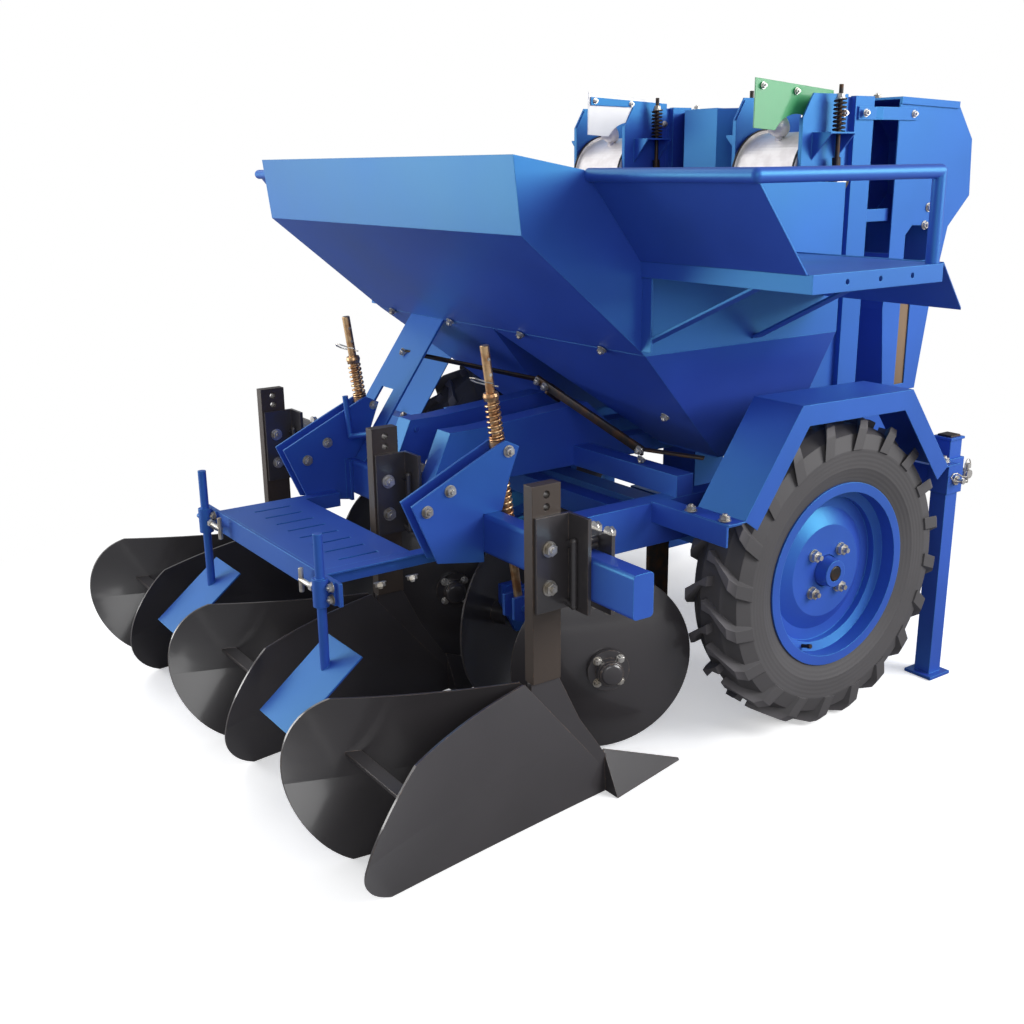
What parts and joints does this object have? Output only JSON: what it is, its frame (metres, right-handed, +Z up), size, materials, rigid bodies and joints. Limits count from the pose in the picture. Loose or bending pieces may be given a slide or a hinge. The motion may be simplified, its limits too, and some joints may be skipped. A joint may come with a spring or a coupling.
{
  "type": "mounted two-row potato planter",
  "caption": "Mounted two-row potato planter with a sloping seed hopper, cup-belt picking units, treaded wheels, covering discs and curved ridging bodies.",
  "frame": {"origin": "on the ground under the middle of the machine's bounding box", "axes": "+X to the machine's right, +Y forward in the travel direction, +Z up"},
  "size_m": [2.028, 2.1161, 1.48],
  "materials": {
    "blue_paint": "gloss blue paint on sheet steel and tube",
    "black_paint": "satin black paint on forged and pressed steel",
    "zinc": "bright zinc plating",
    "yellow_zinc": "yellow zinc plating",
    "tyre": "dark grey moulded rubber",
    "belt": "pale belt with polished cups",
    "green_paint": "green painted sheet",
    "white_paint": "white painted sheet"
  },
  "bodies": {
    "frame": {"adjusting_rods": "black_paint", "axle": "blue_paint", "centre_beams": "blue_paint", "cross_tubes": "blue_paint", "cup_belts": "belt", "disc_arms": "blue_paint", "disc_hangers": "blue_paint", "divider_sheet": "blue_paint", "drum_shaft": "black_paint", "duct_links": "blue_paint", "ear_brackets": "blue_paint", "fender_arms": "blue_paint", "fenders": "blue_paint", "footboard": "blue_paint", "footboard_frame": "blue_paint", "furrow_openers": "black_paint", "hitch_mast": "blue_paint", "hitch_pins": "zinc", "hitch_plates": "blue_paint", "hopper": "blue_paint", "hopper_leg": "blue_paint", "hopper_troughs": "blue_paint", "mast_stays": "blue_paint", "picker_brackets": "blue_paint", "picker_casings": "blue_paint", "picker_channels": "blue_paint", "picker_side_plates": "blue_paint", "ridge_shapers": "blue_paint", "ridger_centre": "black_paint", "ridger_clamps": "black_paint", "ridger_left": "black_paint", "ridger_right": "black_paint", "ridger_shanks": "black_paint", "seed_ducts": "blue_paint", "side_rails": "blue_paint", "side_trays": "blue_paint", "sorting_plate_left": "white_paint", "sorting_plate_right": "green_paint", "sprung_rods": "yellow_zinc", "stand_sleeves": "blue_paint", "tension_rods": "black_paint", "toolbar": "blue_paint", "tray_guards": "blue_paint", "tray_rails": "blue_paint", "tray_struts": "blue_paint"},
    "wheel_left": {"tyre_left": "tyre", "rim_left": "blue_paint", "wheel_hub_left": "blue_paint"},
    "stand_left": {"stand_leg_left": "blue_paint"},
    "disc_left_inner": {"disc_left_inner": "black_paint"},
    "disc_left_outer": {"disc_left_outer": "black_paint"},
    "wheel_right": {"tyre_right": "tyre", "rim_right": "blue_paint", "wheel_hub_right": "blue_paint"},
    "stand_right": {"stand_leg_right": "blue_paint"},
    "disc_right_inner": {"disc_right_inner": "black_paint"},
    "disc_right_outer": {"disc_right_outer": "black_paint"}
  },
  "joints": [
    {"name": "wheel_left_spin", "type": "hinge", "parent": "frame", "child": "wheel_left", "pos_m": [-0.638, 0.25, 0.37], "axis": [1, 0, 0], "continuous": true},
    {"name": "stand_left_lift", "type": "slide", "parent": "frame", "child": "stand_left", "axis": [0, 0, 1], "range_m": [0, 0.4]},
    {"name": "disc_left_inner_spin", "type": "hinge", "parent": "frame", "child": "disc_left_inner", "pos_m": [-0.098, -0.31, 0.222], "axis": [0.9272, -0.3746, 0], "continuous": true},
    {"name": "disc_left_outer_spin", "type": "hinge", "parent": "frame", "child": "disc_left_outer", "pos_m": [-0.54, -0.31, 0.222], "axis": [-0.9272, -0.3746, 0], "continuous": true},
    {"name": "wheel_right_spin", "type": "hinge", "parent": "frame", "child": "wheel_right", "pos_m": [0.638, 0.25, 0.37], "axis": [1, 0, 0], "continuous": true},
    {"name": "stand_right_lift", "type": "slide", "parent": "frame", "child": "stand_right", "axis": [0, 0, 1], "range_m": [0, 0.4]},
    {"name": "disc_right_inner_spin", "type": "hinge", "parent": "frame", "child": "disc_right_inner", "pos_m": [0.098, -0.31, 0.222], "axis": [-0.9272, -0.3746, 0], "continuous": true},
    {"name": "disc_right_outer_spin", "type": "hinge", "parent": "frame", "child": "disc_right_outer", "pos_m": [0.54, -0.31, 0.222], "axis": [0.9272, -0.3746, 0], "continuous": true}
  ]
}
